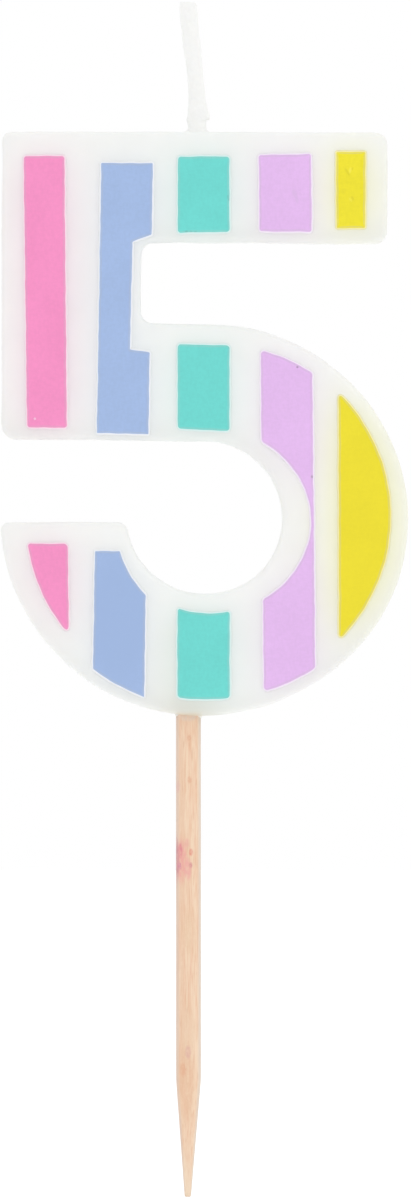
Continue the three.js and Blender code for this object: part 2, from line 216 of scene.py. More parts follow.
def digitOutline():
    bowl, bay, wideBay = insideBowl(0), aroundBay(0, 0), aroundBay(digit["bayWidening"], 0)
    topLeft, topRight = (stemLeft, digitTop), (barRight, digitTop)
    barEnd, notchUpper = (barRight, barBottom), (stemRight, barBottom + digit["barRise"])
    notchLower, waistTop = (stemRight, bowlTop), (bowlX, bowlTop)
    tailTip, tailEnd = acrossOval(bowl, tailTop, -1), acrossOval(wideBay, tailTop, -1)
    bayTop, stemFoot = (bayX, stemBottom), (stemLeft, stemBottom + digit["footRise"])
    bayLow = (bayX, bayZ - bayRadius)
    sides = sidesOf((topLeft,), (topRight,), (barEnd,), (notchUpper,), (notchLower,), (waistTop, bowl, -1),
                    (tailTip,), (tailEnd,), (bayTop,), (stemFoot,))
    # the side in the bay follows two ovals, which meet at its lowest place
    sides[7] = np.concatenate([curved(wideBay, tailEnd, bayLow, 1)[:-1], curved(bay, bayLow, bayTop, 1)])
    points, marks = roundOff(list(zip(sides, digit["corners"].values())), digit["outlineSpacing"])
    for x, z, reach, right, up in digit["swells"]:
        nearness = np.exp(-((points - (x, z)) ** 2).sum(1) / reach ** 2)
        points = points + nearness[:, None] * (right, up)
    return points, dict(zip(digit["corners"], marks))


# The printed stripes

prints = {
    "thickness": 0.07, "edgeWave": 0.024, "waveSteps": (11.0, 6.3, 3.7, 2.1), "seed": 20, "spacing": 0.12,
    # how far each colour's corners are cut back, and those of some stripes, in the order of their sides
    "corner": {"pink": 0.38, "blue": 0.14, "teal": 0.42, "lilac": 0.34, "yellow": 0.2},
    "tips": {"yellow_bowl": [0.92, 0.88], "pink_tail": [0.55, 1.12, 0.38],
             "lilac_bowl": [0.34, 0.34, 0.62, 0.34, 0.34, 0.62]},
    # the first band's left edge from the stem's, and the last one's from the bowl's right edge
    "firstInset": 2.74, "lastInset": 9.0,
    # each band: steps from the first, shift, width, drift of the left and the right edge per mm down
    "bands": {"pink": (0, -0.04, 5.1, 0.0127, 0.0089), "blue": (1, 0.02, 6.42, -0.0164, -0.0164),
              "teal": (2, -0.23, 6.42, -0.0008, 0.0006), "lilac": (3, 0.1, 6.42, 0.0094, 0.0094),
              "yellow": (4, 0.01, 6.42, 0.0075, 0.0075), "yellowBowl": (4, 0.29, 6.42, 0.0018, 0.0018)},
    # margins of the four-sided stripes: at the top left, top right, foot left and foot right
    "ends": {"pink_stem": (3.01, 3.01, 1.69, 1.68), "teal_bar": (3.07, 3.07, 1.33, 1.46),
             "lilac_bar": (2.9, 2.76, 1.53, 1.45), "yellow_bar": (2.5, 2.5, 1.92, 1.92),
             "teal_waist": (2.59, 2.8, 1.52, 1.28)},
    "yellowEndMargin": 2.72, "lilacWider": 0.09,
    # the blue stripe of the stem: margins at its top, where it steps in and out at the notch, at its foot
    "blueTop": 3.88, "blueIn": (1.12, 0.22), "blueOut": (3.28, 3.66), "blueFoot": (0.87, 1.0),
    "stemMargin": 1.075, "stemDrift": 0.31,
    # edges along the bowl: margin, shift right and up; round the bay: margins across and up, shift right
    "bowlEdges": {"lilacUpper": (2.11, 0.57, -0.37), "lilacLower": (1.74, 0.6, 0.27),
                  "yellow": (2.17, 0, 0.35), "pink": (2.98, 0.27, -0.55), "blue": (1.36, 1.1, -0.61),
                  "teal": (1.98, 0, 0)},
    "bayEdges": {"blue": (1.72, 3.37, 0), "teal": (2.43, 2.43, 0.5)},
    "tailMargins": {"pink": 2.68, "blue": 3.6},
    # the lilac stripe beside the bay: least width, rise over the bay, and drop of its narrowest place
    "neck": 0.36, "lilacRise": 2.14, "lilacDrop": 0.43,
    "room": 0.9,    # share of the largest circle at a point that an inset may take
    # rows from the wax up over the soft shoulder: inset, share of the thickness, and tone, which is -1 where
    # the ink thins out, 0 for the plain ink and 1 along the duller line just inside
    "shoulder": [[-0.2, -0.2, -1.0], [-0.2, 0.12, -1.0], [0.0, 0.3, -0.8], [0.08, 0.75, 0.3],
                 [0.13, 0.95, 1.0], [0.23, 1.0, 0.8], [0.36, 1.0, 0.0]],
}
firstLeft = stemLeft + prints["firstInset"]
pitch = (bowlRight - prints["lastInset"] - firstLeft) / 4


def onBand(name, z, side):
    # the place at height z on a band's left (-1) or right (1) edge
    steps, shift, width, driftLeft, driftRight = prints["bands"][name]
    left, down = firstLeft + steps * pitch + shift, digitTop - z
    return np.array([left + (width + driftRight * down if side > 0 else driftLeft * down), z])


def meetBand(name, side, oval, half):
    # where a band's left (-1) or right (1) edge meets an oval's lower (-1) or upper (1) half
    z = oval[1]
    for _ in range(6):
        across = (onBand(name, z, side)[0] - oval[0]) / oval[2]
        z = oval[1] + half * oval[3] * np.sqrt(1 - across ** 2)
    return onBand(name, z, side)


def alongBowl(name):
    return insideBowl(*prints["bowlEdges"][name])


def alongBay(name):
    return aroundBay(*prints["bayEdges"][name])


def fourSided(name, upper, lower, right=None, wider=0.0):
    band, ends = name.split("_")[0], prints["ends"][name]
    corners = [onBand(band, upper - ends[0], -1), onBand(band, upper - ends[1], 1),
               onBand(band, lower + ends[3], 1), onBand(band, lower + ends[2], -1)]
    for corner in corners[1:3]:
        corner[0] = corner[0] + wider if right is None else right
    return sidesOf(*zip(corners))


def stripeShapes():
    # the sides of every stripe, clockwise as seen from the front
    shapes = {"pink_stem": fourSided("pink_stem", digitTop, stemBottom)}

    top, inner = digitTop - prints["blueTop"], stemRight - prints["stemMargin"]
    leaving, entering = (barBottom + margin for margin in prints["blueIn"])
    innerEnd, outerEnd = (bowlTop - margin for margin in prints["blueOut"])
    footRight, footLeft = (stemBottom + margin for margin in prints["blueFoot"])
    shapes["blue_stem"] = sidesOf(*zip([
        onBand("blue", top, -1), onBand("blue", top, 1), onBand("blue", leaving, 1),
        np.array([inner, entering]), np.array([inner - prints["stemDrift"], innerEnd]),
        onBand("blue", outerEnd, 1), onBand("blue", footRight, 1), onBand("blue", footLeft, -1)]))

    shapes["teal_bar"] = fourSided("teal_bar", digitTop, barBottom)
    shapes["lilac_bar"] = fourSided("lilac_bar", digitTop, barBottom, wider=prints["lilacWider"])
    end = barRight - prints["yellowEndMargin"]
    shapes["yellow_bar"] = fourSided("yellow_bar", digitTop, barBottom, end)
    shapes["teal_waist"] = fourSided("teal_waist", bowlTop, stemBottom)

    upper, lower = alongBowl("lilacUpper"), alongBowl("lilacLower")
    innerZ = bayZ - prints["lilacDrop"]
    innerX = onBand("lilac", innerZ, 1)[0] - prints["neck"]
    bay = (bayX, innerZ, innerX - bayX, bayRadius + prints["lilacRise"])
    upLeft, upRight = (meetBand("lilac", side, upper, 1) for side in (-1, 1))
    lowLeft, lowRight = (meetBand("lilac", side, lower, -1) for side in (-1, 1))
    bayLow, bayHigh = (meetBand("lilac", -1, bay, half) for half in (-1, 1))
    shapes["lilac_bowl"] = sidesOf((upLeft, upper, -1), (upRight,), (lowRight, lower, -1), (lowLeft,),
                                   (bayLow, bay, 1), (bayHigh,))

    edge = alongBowl("yellow")
    high, low = (meetBand("yellowBowl", -1, edge, half) for half in (1, -1))
    shapes["yellow_bowl"] = sidesOf((high, edge, -1), (low,))

    edge, upZ = alongBowl("pink"), tailTop - prints["tailMargins"]["pink"]
    left, right, tip = acrossOval(edge, upZ, -1), onBand("pink", upZ, 1), meetBand("pink", 1, edge, -1)
    shapes["pink_tail"] = sidesOf((left,), (right,), (tip, edge, -1))

    edge, bay, upZ = alongBowl("blue"), alongBay("blue"), tailTop - prints["tailMargins"]["blue"]
    left, right = onBand("blue", upZ, -1), acrossOval(bay, upZ, -1)
    bayLow, lowRight = meetBand("blue", 1, bay, -1), meetBand("blue", 1, edge, -1)
    lowLeft = meetBand("blue", -1, edge, -1)
    shapes["blue_tail"] = sidesOf((left,), (right, bay, 1), (bayLow,), (lowRight, edge, -1), (lowLeft,))

    edge, bay = alongBowl("teal"), alongBay("teal")
    upLeft, upRight = (meetBand("teal", side, bay, -1) for side in (-1, 1))
    lowLeft, lowRight = (meetBand("teal", side, edge, -1) for side in (-1, 1))
    shapes["teal_base"] = sidesOf((upLeft, bay, 1), (upRight,), (lowRight, edge, -1), (lowLeft,))
    return shapes


stripeOutlines = {}
for number, (name, sides) in enumerate(stripeShapes().items()):
    corners = prints["tips"].get(name, [prints["corner"][name.split("_")[0]]] * len(sides))
    outline, _ = roundOff(list(zip(sides, corners)), prints["spacing"])
    reach = runReach(outline)[-1]
    waves = [round(reach / step) for step in prints["waveSteps"]]
    stripeOutlines[name] = wavy(outline, prints["edgeWave"], waves, prints["seed"] + number)


# Colours and shader nodes

def linear(red, green, blue):
    # sRGB 0-255 to the linear colour that shaders take
    value = np.array([red, green, blue], float) / 255
    return np.where(value <= 0.04045, value / 12.92, ((value + 0.055) / 1.055) ** 2.4)


inks = {
    "pink": linear(248, 147, 199), "blue": linear(164, 188, 229), "teal": linear(112, 219, 211),
    "lilac": linear(231, 189, 241), "yellow": linear(241, 227, 46),
}


def feed(tree, socket, value):
    # an input takes a number, a colour or another node's output socket
    if isinstance(value, bpy.types.NodeSocket):
        tree.links.new(value, socket)
    else:
        socket.default_value = value


def feedAll(tree, made, **inputs):
    # i0, i1 and so on number an input; any other key is its name, with _ for each space
    for key, value in inputs.items():
        numbered = key[0] == "i" and key[1:].isdigit()
        feed(tree, made.inputs[int(key[1:]) if numbered else key.replace("_", " ")], value)


def node(tree, kind, settings=None, **inputs):
    made = tree.nodes.new("ShaderNode" + kind)
    for key, value in (settings or {}).items():
        setattr(made, key, value)
    feedAll(tree, made, **inputs)
    return made


def compute(tree, operation, *values):
    made = node(tree, "Math", {"operation": operation})
    for socket, value in zip(made.inputs, values):
        feed(tree, socket, value)
    return made.outputs[0]


def mixColour(tree, factor, first, second, blend="MIX"):
    made = node(tree, "Mix", {"data_type": "RGBA", "blend_type": blend})
    for socket, value in zip((made.inputs[0], made.inputs[6], made.inputs[7]), (factor, first, second)):
        ready = np.isscalar(value) or isinstance(value, bpy.types.NodeSocket)
        feed(tree, socket, value if ready else (*value, 1))
    return made.outputs[2]


def ramp(tree, value, begin, full, strength, rest=0.0):
    # a smooth step from rest, where the value is begin, to the strength, where it is full
    made = node(tree, "MapRange", {"interpolation_type": "SMOOTHSTEP"}, Value=value)
    for socket, number in zip(list(made.inputs)[1:5], (begin, full, rest, strength)):
        socket.default_value = number
    return made.outputs[0]


def attribute(tree, name, output):
    return node(tree, "Attribute", {"attribute_name": name}).outputs[output]


def newMaterial(name):
    material = bpy.data.materials.new(name)
    material.use_nodes = True
    tree = material.node_tree
    shader, where = tree.nodes["Principled BSDF"], node(tree, "TexCoord").outputs["Object"]
    return material, tree, shader, where


def noise(tree, where, size, detail=2.0, roughness=0.5, stretch=(1, 1, 1)):
    # noise whose features are about size millimetres wide, drawn out along an axis by its stretch
    placed = node(tree, "Mapping", Vector=where, Scale=[1 / part for part in stretch])
    made = node(tree, "TexNoise", Vector=placed.outputs[0], Scale=1 / (size * mm), Detail=detail,
                Roughness=roughness)
    return made.outputs["Fac"]


def spotOn(tree, where, place, reach, strength, turn=0.0):
    # an oval spot that fades from the strength to 0 at its edge; turn leans its upper end to the right
    moved = node(tree, "Mapping", {"vector_type": "TEXTURE"}, Vector=where,
                 Location=[part * mm for part in place], Rotation=[0, np.radians(turn), 0],
                 Scale=[part * mm for part in reach])
    ball = node(tree, "TexGradient", {"gradient_type": "SPHERICAL"}, Vector=moved.outputs[0])
    return ramp(tree, ball.outputs[1], 0.0, 0.6, strength)


def bump(tree, height, distance, normal=None):
    made = node(tree, "Bump", Height=height, Distance=distance * mm, Strength=1.0)
    if normal is not None:
        tree.links.new(normal, made.inputs["Normal"])
    return made.outputs[0]


# The wax digit

wax = {
    "colour": (248, 249, 246), "duller": 0.985, "paler": 1.008,  # plain wax, and its broad clouds
    # painted coloured light: how much of each ink's colour the wax shows beside a stripe, standing in for
    # light that passes under the ink through the wax
    "tintStrength": {"pink": 0.53, "blue": 0.33, "teal": 0.34, "lilac": 0.46, "yellow": 0.69},
    # raises the share of the colour that an ink takes away most
    "tintPower": {"pink": 1.3, "blue": 1.3, "teal": 1.3, "lilac": 1.3, "yellow": 1.8},
    "tintSpread": 1.85,     # mm over which that fades by e
    # the raster of the tint: size of its cells, and the x and z that it covers
    "tintCell": 0.25, "tintAcross": (-36, 40), "tintUp": (-12, 86),
    "backTint": 0.15,       # share of the tint left on the back
    # painted shade: the face is duller along its lower edges, as under light from above: by how much, over
    # what width, and how far above them
    "lowShade": 0.085, "lowSpread": 0.9, "lowRise": 1.8,
    # painted shade: the pick seen through the wax as a faint wood tint along it, and a deeper painted shade
    # at the digit's lower edge round it
    "pickTint": (0.02, 0.045, 0.075), "pickTintWidth": 4.2, "pickTintTop": 12.0,
    "footShade": (0.15, 0.16, 0.19), "footWidth": 3.6, "footHeight": 2.2,
    # painted shade: colour of the thin wax right over the wood, standing in for the wood seen through it,
    # how far that reaches aside and up, and how it fades there
    "overWood": (0.97, 0.85, 0.73), "overWoodHalf": 1.45, "overWoodTop": 0.3, "overWoodFade": (0.08, 0.1),
    # fine and broad unevenness of the surface: size, detail, roughness and height
    "relief": [(0.35, 3.0, 0.6, 0.012), (4.5, 2.0, 0.5, 0.09)],
}


def insidePolygon(outline, x, z):
    # even-odd rule: counts the outline's edges that cross the level of each place to its right
    start, end = outline, np.roll(outline, -1, axis=0)
    hit = np.zeros(len(x), int)
    for low in range(0, len(start), 40):
        a, b = start[low:low + 40], end[low:low + 40]
        spans = (a[:, 1] > z[:, None]) != (b[:, 1] > z[:, None])
        rise = np.where(b[:, 1] == a[:, 1], 1, b[:, 1] - a[:, 1])
        crossing = a[:, 0] + (z[:, None] - a[:, 1]) / rise * (b[:, 0] - a[:, 0])
        hit += (spans & (crossing > x[:, None])).sum(1)
    return hit % 2 == 1


def tintMap(border):
    # The areas of the inks and of the digit as rasters, spread by a kernel exp(-r / spread). The wax keeps
    # the product of 1 - strength * spread ink * (1 - ink colour) ** power over the inks, which is painted
    # coloured light beside the stripes, and a little less, as painted shade, where the spread digit is thin
    # a bit further down.
    cell = wax["tintCell"]
    xs, zs = (np.arange(*wax[side], cell) for side in ("tintAcross", "tintUp"))
    gridX, gridZ = np.meshgrid(xs, zs, indexing="ij")
    places = np.column_stack([gridX.ravel(), gridZ.ravel()])
    steps = [np.minimum(np.arange(len(line)), np.arange(len(line), 0, -1)) * cell for line in (xs, zs)]
    away = np.hypot(*np.meshgrid(*steps, indexing="ij"))

    def spread(outlines, reach):
        area = np.zeros(gridX.size)
        for outline in outlines:
            low, high = outline.min(0) - cell, outline.max(0) + cell
            near = ((places > low) & (places < high)).all(1)
            area[near] = np.maximum(area[near], insidePolygon(outline[::3], *places[near].T))
        kernel = np.exp(-away / reach)
        mixed = np.fft.rfft2(area.reshape(gridX.shape)) * np.fft.rfft2(kernel / kernel.sum())
        return np.clip(np.fft.irfft2(mixed, gridX.shape), 0, 1)[..., None]

    kept = np.ones((*gridX.shape, 3))
    # painted coloured light beside the stripes of each ink
    for colour, ink in inks.items():
        inked = [outline for name, outline in stripeOutlines.items() if name.startswith(colour)]
        taken = wax["tintStrength"][colour] * (1 - ink) ** wax["tintPower"][colour]
        kept *= 1 - spread(inked, wax["tintSpread"]) * taken
    # painted shade along the lower edges
    below = np.roll(spread([border], wax["lowSpread"]), round(wax["lowRise"] / cell), axis=1)
    return xs, zs, kept * (1 - wax["lowShade"] * (1 - below))


def sampled(xs, zs, table, x, z):
    # bilinear look-up
    column = np.clip((x - xs[0]) / (xs[1] - xs[0]), 0, len(xs) - 1.001)
    row = np.clip((z - zs[0]) / (zs[1] - zs[0]), 0, len(zs) - 1.001)
    i, j = column.astype(int), row.astype(int)
    s, t = (column - i)[:, None], (row - j)[:, None]
    low = table[i, j] * (1 - s) + table[i + 1, j] * s
    high = table[i, j + 1] * (1 - s) + table[i + 1, j + 1] * s
    return low * (1 - t) + high * t


def waxDigit():
    # The digit is one broad stroke. Two sides run along it, point for point: the upper or inner one and
    # the lower or outer one. The faces are straight across between them, bent near the ends to meet those.
    # A quarter-round profile carried along the outline makes the rims.
    outline, marks = digitOutline()
    outline = wavy(outline, digit["edgeWave"], digit["edgeWaves"], digit["seed"])
    normals = inwards(outline)
    total = len(outline)

    def run(start, end):
        # the numbers of the outline's points from one corner to another, and the distances along them
        first, last = marks[start], marks[end] + total * (marks[end] < marks[start])
        numbers = np.arange(first, last + 1)
        return numbers, runReach(outline[numbers % total])

    def stretch(start, end, cells):
        # evenly spaced places on the outline between two corners, as fractions of its point numbers
        numbers, reach = run(start, end)
        return np.interp(np.linspace(0, reach[-1], cells + 1)[:-1], reach, numbers)

    across = digit["acrossCells"]
    bar, stem, waist, bowl = (int(run(*ends)[1][-1] / digit["spacing"]) for ends in (
        ("topLeft", "topRight"), ("stemFoot", "topLeft"), ("bayTop", "stemFoot"), ("waistTop", "tailTip")))
    along = bar + stem + waist + bowl
    corners, cells = list(marks), (across, bar, stem, waist, bowl, across, bowl, waist, stem, bar)
    loop = np.concatenate([stretch(*ends) for ends in zip(corners, corners[1:] + corners[:1], cells)])

    def taken(values):
        low = np.floor(loop).astype(int)
        share = (loop - low)[:, None]
        return values[low % total] * (1 - share) + values[(low + 1) % total] * share

    edge, inward = taken(outline), taken(normals)
    radius, half = digit["rimRadius"], digit["thickness"] / 2
    angle = np.linspace(0, np.pi / 2, digit["rimRows"])
    inset = radius * (1 - np.sin(angle))
    depth = -half + radius * (1 - np.cos(angle))
    sideDepth = np.linspace(depth[-1], -depth[-1], digit["sideRows"] + 1)[1:-1]
    inset = np.concatenate([inset, np.zeros(len(sideDepth)), inset[::-1]])
    depth = np.concatenate([depth, sideDepth, -depth[::-1]])
    rows, columns = len(inset), len(loop)
    flat = edge[None] + inward[None] * inset[:, None, None]
    band = np.stack([flat[..., 0], np.broadcast_to(depth[:, None], (rows, columns)), flat[..., 1]], axis=-1)
    bandNumbers = np.arange(rows * columns).reshape(rows, columns)

    # vertex numbers round the border of a face, and where its two long sides and two ends lie on the loop
    upper = (-np.arange(along + 1)) % columns
    lower = across + np.arange(along + 1)
    barSide = np.arange(across + 1)
    tailSide = (2 * across + along - np.arange(across + 1)) % columns
    v = np.linspace(0, 1, across + 1)[None, :, None]
    fade = np.clip(1 - np.arange(along + 1) / digit["endBlend"], 0, 1)[:, None, None] ** 2

    def face(row):
        ring = band[row]
        ruled = (1 - v) * ring[upper][:, None] + v * ring[lower][:, None]
        toBar, toTail = ring[barSide] - ruled[0], ring[tailSide] - ruled[-1]
        return ruled + fade * toBar[None] + fade[::-1] * toTail[None]

    points, groups, count = [band.reshape(-1, 3)], [gridFaces(bandNumbers, True)], rows * columns
    inner = np.arange((along - 1) * (across - 1)).reshape(along - 1, across - 1)
    for row, flip in ((0, False), (rows - 1, True)):
        numbers = np.empty((along + 1, across + 1), int)
        numbers[1:-1, 1:-1] = count + inner
        numbers[:, 0], numbers[:, -1] = bandNumbers[row, upper], bandNumbers[row, lower]
        numbers[0], numbers[-1] = bandNumbers[row, barSide], bandNumbers[row, tailSide]
        points.append(face(row)[1:-1, 1:-1].reshape(-1, 3))
        count += inner.size
        groups.append(gridFaces(numbers if flip else numbers.T))
    points = np.concatenate(points)

    xs, zs, kept = tintMap(outline)
    tint = sampled(xs, zs, kept, points[:, 0], points[:, 2])
    back = np.clip((points[:, 1] + half) / (2 * half), 0, 1)[:, None]
    tint = 1 - (1 - tint) * (1 - (1 - wax["backTint"]) * back)
    x, z = points[:, :1], np.maximum(points[:, 2:], 0)
    # painted shade of the pick seen through the wax
    deep = 1 / (1 + np.exp(z - wax["pickTintTop"]))
    tint *= 1 - np.exp(-(x / wax["pickTintWidth"]) ** 2) * deep * np.array(wax["pickTint"])
    # painted shade of the lower rim round the pick
    foot = np.exp(-(x / wax["footWidth"]) ** 2 - z / wax["footHeight"])
    tint *= 1 - foot * np.array(wax["footShade"])
    # painted shade: the thin wax over the wood takes on the wood's colour
    fadeX, fadeZ = wax["overWoodFade"]
    thin = 1 / (1 + np.exp((np.abs(x) - wax["overWoodHalf"]) / fadeX))
    thin = thin / (1 + np.exp((z - wax["overWoodTop"]) / fadeZ))
    tint *= 1 - thin * (1 - np.array(wax["overWood"]))
    return makeMesh("candle_wax", points, groups, {"tint": tint})


pick = {
    "x": 0.04, "radius": 1.55, "length": 59.8, "taper": 14.5, "blend": 0.9, "tip": 0.4, "tipRound": 0.2,
    "tipShift": -0.08, "blunt": 0.62, "cover": 3.0, "rows": 300, "sides": 120,
    # grooves: how many of each kind lie round the pick, depth as a share of the radius, and wear in mm
    "grooves": (3, 5, 9, 14, 19, 27, 36, 43), "grooveDepth": 0.0045, "wear": 0.006, "seed": 11,
}
skirt = {
    "width": 0.45, "reach": 0.55, "smear": 0.3, "wobble": 0.12, "waves": (2, 3, 5), "front": 0.15,
    "power": 5, "sunk": 0.1, "hidden": 0.6, "sides": 64, "seed": 4, "tone": (0.98, 0.945, 0.89),
    # rows from the pick outwards: share of the width, and share of the reach
    "profile": [[0.0, 1.0], [0.04, 1.0], [0.16, 0.68], [0.34, 0.4], [0.6, 0.16], [1.0, 0.0], [1.25, -0.9]],
}


def bowlEdge(x):
    return bowlZ * (1 - np.sqrt(1 - ((x - bowlX) / bowlHalf) ** 2))


def waxSkirt():
    # A low skirt of wax round the pick. Radius: the pick's own + width * share, both varied with the angle;
    # the first row is hidden in the pick. Height: the bowl's lower edge - reach * rise, where front is the
    # share of the reach in front and behind, and the rest goes by the cosine of the angle to a power.
    random = np.random.default_rng(skirt["seed"])
    share, rise = np.array(skirt["profile"]).T[..., None]
    angle = np.linspace(0, 2 * np.pi, skirt["sides"], endpoint=False)
    ripple = sum(np.sin(waves * angle + random.uniform(0, 6.28)) for waves in skirt["waves"])
    wobble = 1 + skirt["wobble"] * ripple
    radius = pick["radius"] + share * skirt["width"] * wobble * (1 + skirt["smear"] * np.cos(angle) ** 2)
    radius[0] = pick["radius"] * skirt["hidden"]
    high = 0.9 + 0.1 * wobble
    high *= skirt["front"] + (1 - skirt["front"]) * np.abs(np.cos(angle)) ** skirt["power"]
    edge = bowlEdge(pick["x"] + radius * np.cos(angle))
    height = edge + skirt["sunk"] - skirt["reach"] * np.where(rise < 0, 1, high) * rise
    rings = ringsRound(pick["x"], radius, angle, height)
    tones = np.tile(skirt["tone"], (rings.shape[0] * rings.shape[1] + 2, 1))
    return tubeMesh("pick_foot", rings, {"tint": tones})


def waxMaterial():
    material, tree, shader, where = newMaterial("wax")
    base = linear(*wax["colour"])
    cloudy = ramp(tree, noise(tree, where, 7.0, 3.0), 0.3, 0.7, 1.0)
    plain = mixColour(tree, cloudy, base * wax["duller"], np.minimum(base * wax["paler"], 1))
    # the tint attribute brings in painted coloured light beside the stripes and painted shade along the
    # lower edges and round the pick
    tinted = mixColour(tree, 1.0, plain, attribute(tree, "tint", "Color"), "MULTIPLY")
    rough = ramp(tree, noise(tree, where, 1.1, 3.0, 0.6), 0.25, 0.75, 0.49, rest=0.37)
    normal = None
    for *pattern, height in wax["relief"]:
        normal = bump(tree, noise(tree, where, *pattern), height, normal)
    feedAll(tree, shader, Base_Color=tinted, Roughness=rough, Normal=normal, IOR=1.44,
            Subsurface_Weight=0.25, Subsurface_Radius=(1.0, 0.95, 0.85), Subsurface_Scale=1.6 * mm)
    return material


waxLook = waxMaterial()

waxPiece, pickFoot = waxDigit(), waxSkirt()
for piece in (waxPiece, pickFoot):
    piece.data.materials.append(waxLook)
    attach(piece, "root")
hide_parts("wax_digit")
print("wax digit:", len(waxPiece.data.polygons), "faces")


# The prints as thin films

printLook = {
    "dullShare": 0.24, "dull": (190, 190, 190),
    "uneven": 0.04,     # by which the grain and the clouds lighten or darken an ink
    # how white the thin ink at a stripe's edge is
    "thinShare": {"pink": 0.72, "blue": 0.88, "teal": 0.74, "lilac": 0.76, "yellow": 0.48},
}
# small flaws of the print, and broad darker patches low on the yellow and blue stripes: x, z of the middle,
# half width, half length, lean to the right in degrees, colour, strength
flawsAndPatches = {
    "yellow": [
        # the first is a broad darker patch over the lower yellow stripe
        (20.8, 20.0, 9.0, 28, 0, (238, 218, 42), 0.4), (19.75, 67.4, 0.2, 0.75, -31, (216, 202, 44), 0.45),
        (20.1, 67.6, 0.2, 0.5, 10, (252, 242, 100), 0.5), (20.38, 67.8, 0.16, 0.3, 15, (222, 208, 44), 0.45),
        (20.4, 64.15, 0.18, 0.4, -28, (216, 202, 48), 0.5),
        (20.15, 63.95, 0.18, 0.4, -35, (250, 240, 92), 0.5),
        (19.3, 65.0, 0.4, 0.5, 0, (230, 216, 48), 0.35)],
    "lilac": [
        (13.2, 64.7, 0.4, 0.8, -20, (216, 182, 226), 0.4), (13.5, 63.9, 0.3, 0.6, -8, (218, 184, 228), 0.35),
        (15.37, 29.6, 0.2, 0.25, 0, (150, 120, 160), 0.6), (13.55, 43.2, 0.2, 0.2, 0, (150, 120, 160), 0.6)],
    "teal": [
        (4.95, 64.3, 0.2, 0.35, 0, (86, 176, 170), 0.35), (5.08, 63.95, 0.18, 0.25, 0, (70, 160, 156), 0.35),
        (-0.2, 60.02, 0.3, 0.16, 0, (70, 160, 156), 0.4), (0.35, 60.0, 0.3, 0.15, 0, (76, 166, 160), 0.35),
        (0.9, 60.0, 0.3, 0.14, 0, (80, 170, 164), 0.35)],
    "pink": [
        (-20.6, 69.25, 0.14, 0.3, 0, (253, 222, 238), 0.7), (-19.0, 36.8, 0.2, 0.2, 0, (255, 220, 236), 0.7),
        (-17.9, 14.4, 0.2, 0.25, 0, (170, 110, 150), 0.7)],
    # a broad darker patch over the blue stripe of the tail
    "blue": [(-8.6, 12.0, 6.0, 12.0, 0, (160, 184, 225), 0.9)],
}


def printMaterial(colour, ink):
    material, tree, shader, where = newMaterial("print_" + colour)
    edge = attribute(tree, "edge", "Fac")
    thin = ramp(tree, edge, 0.0, -1.0, printLook["thinShare"][colour])
    dull = ramp(tree, edge, 0.0, 1.0, printLook["dullShare"])
    weave, crossed = (noise(tree, where, 0.3, 2.0, 0.6, way) for way in ((1, 1, 2.2), (2.2, 1, 1)))
    clouds = noise(tree, where, 5.0)
    grain = compute(tree, "ADD", weave, crossed)
    mixed = compute(tree, "ADD", ramp(tree, grain, 0.7, 1.3, 0.55), ramp(tree, clouds, 0.3, 0.7, 0.45))
    dark, light = (ink * (1 + way * printLook["uneven"]) for way in (-1, 1))
    body = mixColour(tree, mixed, dark, np.minimum(light, 1))
    for x, z, halfWidth, halfLength, turn, shade, strength in flawsAndPatches[colour]:
        spot = spotOn(tree, where, (x, frontY, z), (halfWidth, 1.0, halfLength), strength, turn)
        body = mixColour(tree, spot, body, linear(*shade))
    lined = mixColour(tree, dull, body, linear(*printLook["dull"]))
    feedAll(tree, shader, Base_Color=mixColour(tree, thin, lined, (1, 1, 1)), Roughness=0.48,
            Specular_IOR_Level=0.3, Normal=bump(tree, grain, 0.008))
    return material


def largestCircle(outline, inward):
    # radius of the largest circle that touches the outline from its inward side, at each point
    step = outline[None] - outline[:, None]
    toward = (step * inward[:, None]).sum(2)
    radius = (step ** 2).sum(2) / (2 * np.maximum(toward, 1e-6))
    return np.where(toward > 1e-6, radius, np.inf).min(1)


def stripePiece(name, outline):
    # The shoulder's rows of inset and height are carried along the outline; one flat face closes each end.
    # An inset is divided by the root of 1 + (inset / room) squared, so that it stays below the room: a
    # share of the largest circle that fits there, which is small at corners and in narrow places.
    inward = inwards(outline)
    rows = np.array(prints["shoulder"])
    inset = rows[:, :1]
    circles = np.where(inset > 0, largestCircle(outline, inward), largestCircle(outline, -inward))
    move = inset / np.sqrt(1 + (inset / (circles * prints["room"])) ** 2)
    flat = outline[None] + inward[None] * move[..., None]
    depth = frontY - rows[:, 1] * prints["thickness"]
    depth = np.broadcast_to(depth[:, None], flat.shape[:2])
    points = np.stack([flat[..., 0], depth, flat[..., 1]], axis=-1)
    numbers = np.arange(points.shape[0] * points.shape[1]).reshape(points.shape[:2])
    sides = gridFaces(numbers[::-1], True)
    edge = np.repeat(rows[:, 2], len(outline))
    return makeMesh(name, points.reshape(-1, 3), [sides, numbers[-1:, ::-1], numbers[:1]], {"edge": edge})


inkLooks = {colour: printMaterial(colour, ink) for colour, ink in inks.items()}
for name, outline in stripeOutlines.items():
    colour = name.split("_")[0]
    piece = stripePiece("print_" + name, outline)
    piece.data.materials.append(inkLooks[colour])
    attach(piece, "root")
    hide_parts("stripe_" + name)
print("stripes:", len(stripeOutlines))


# The wooden pick

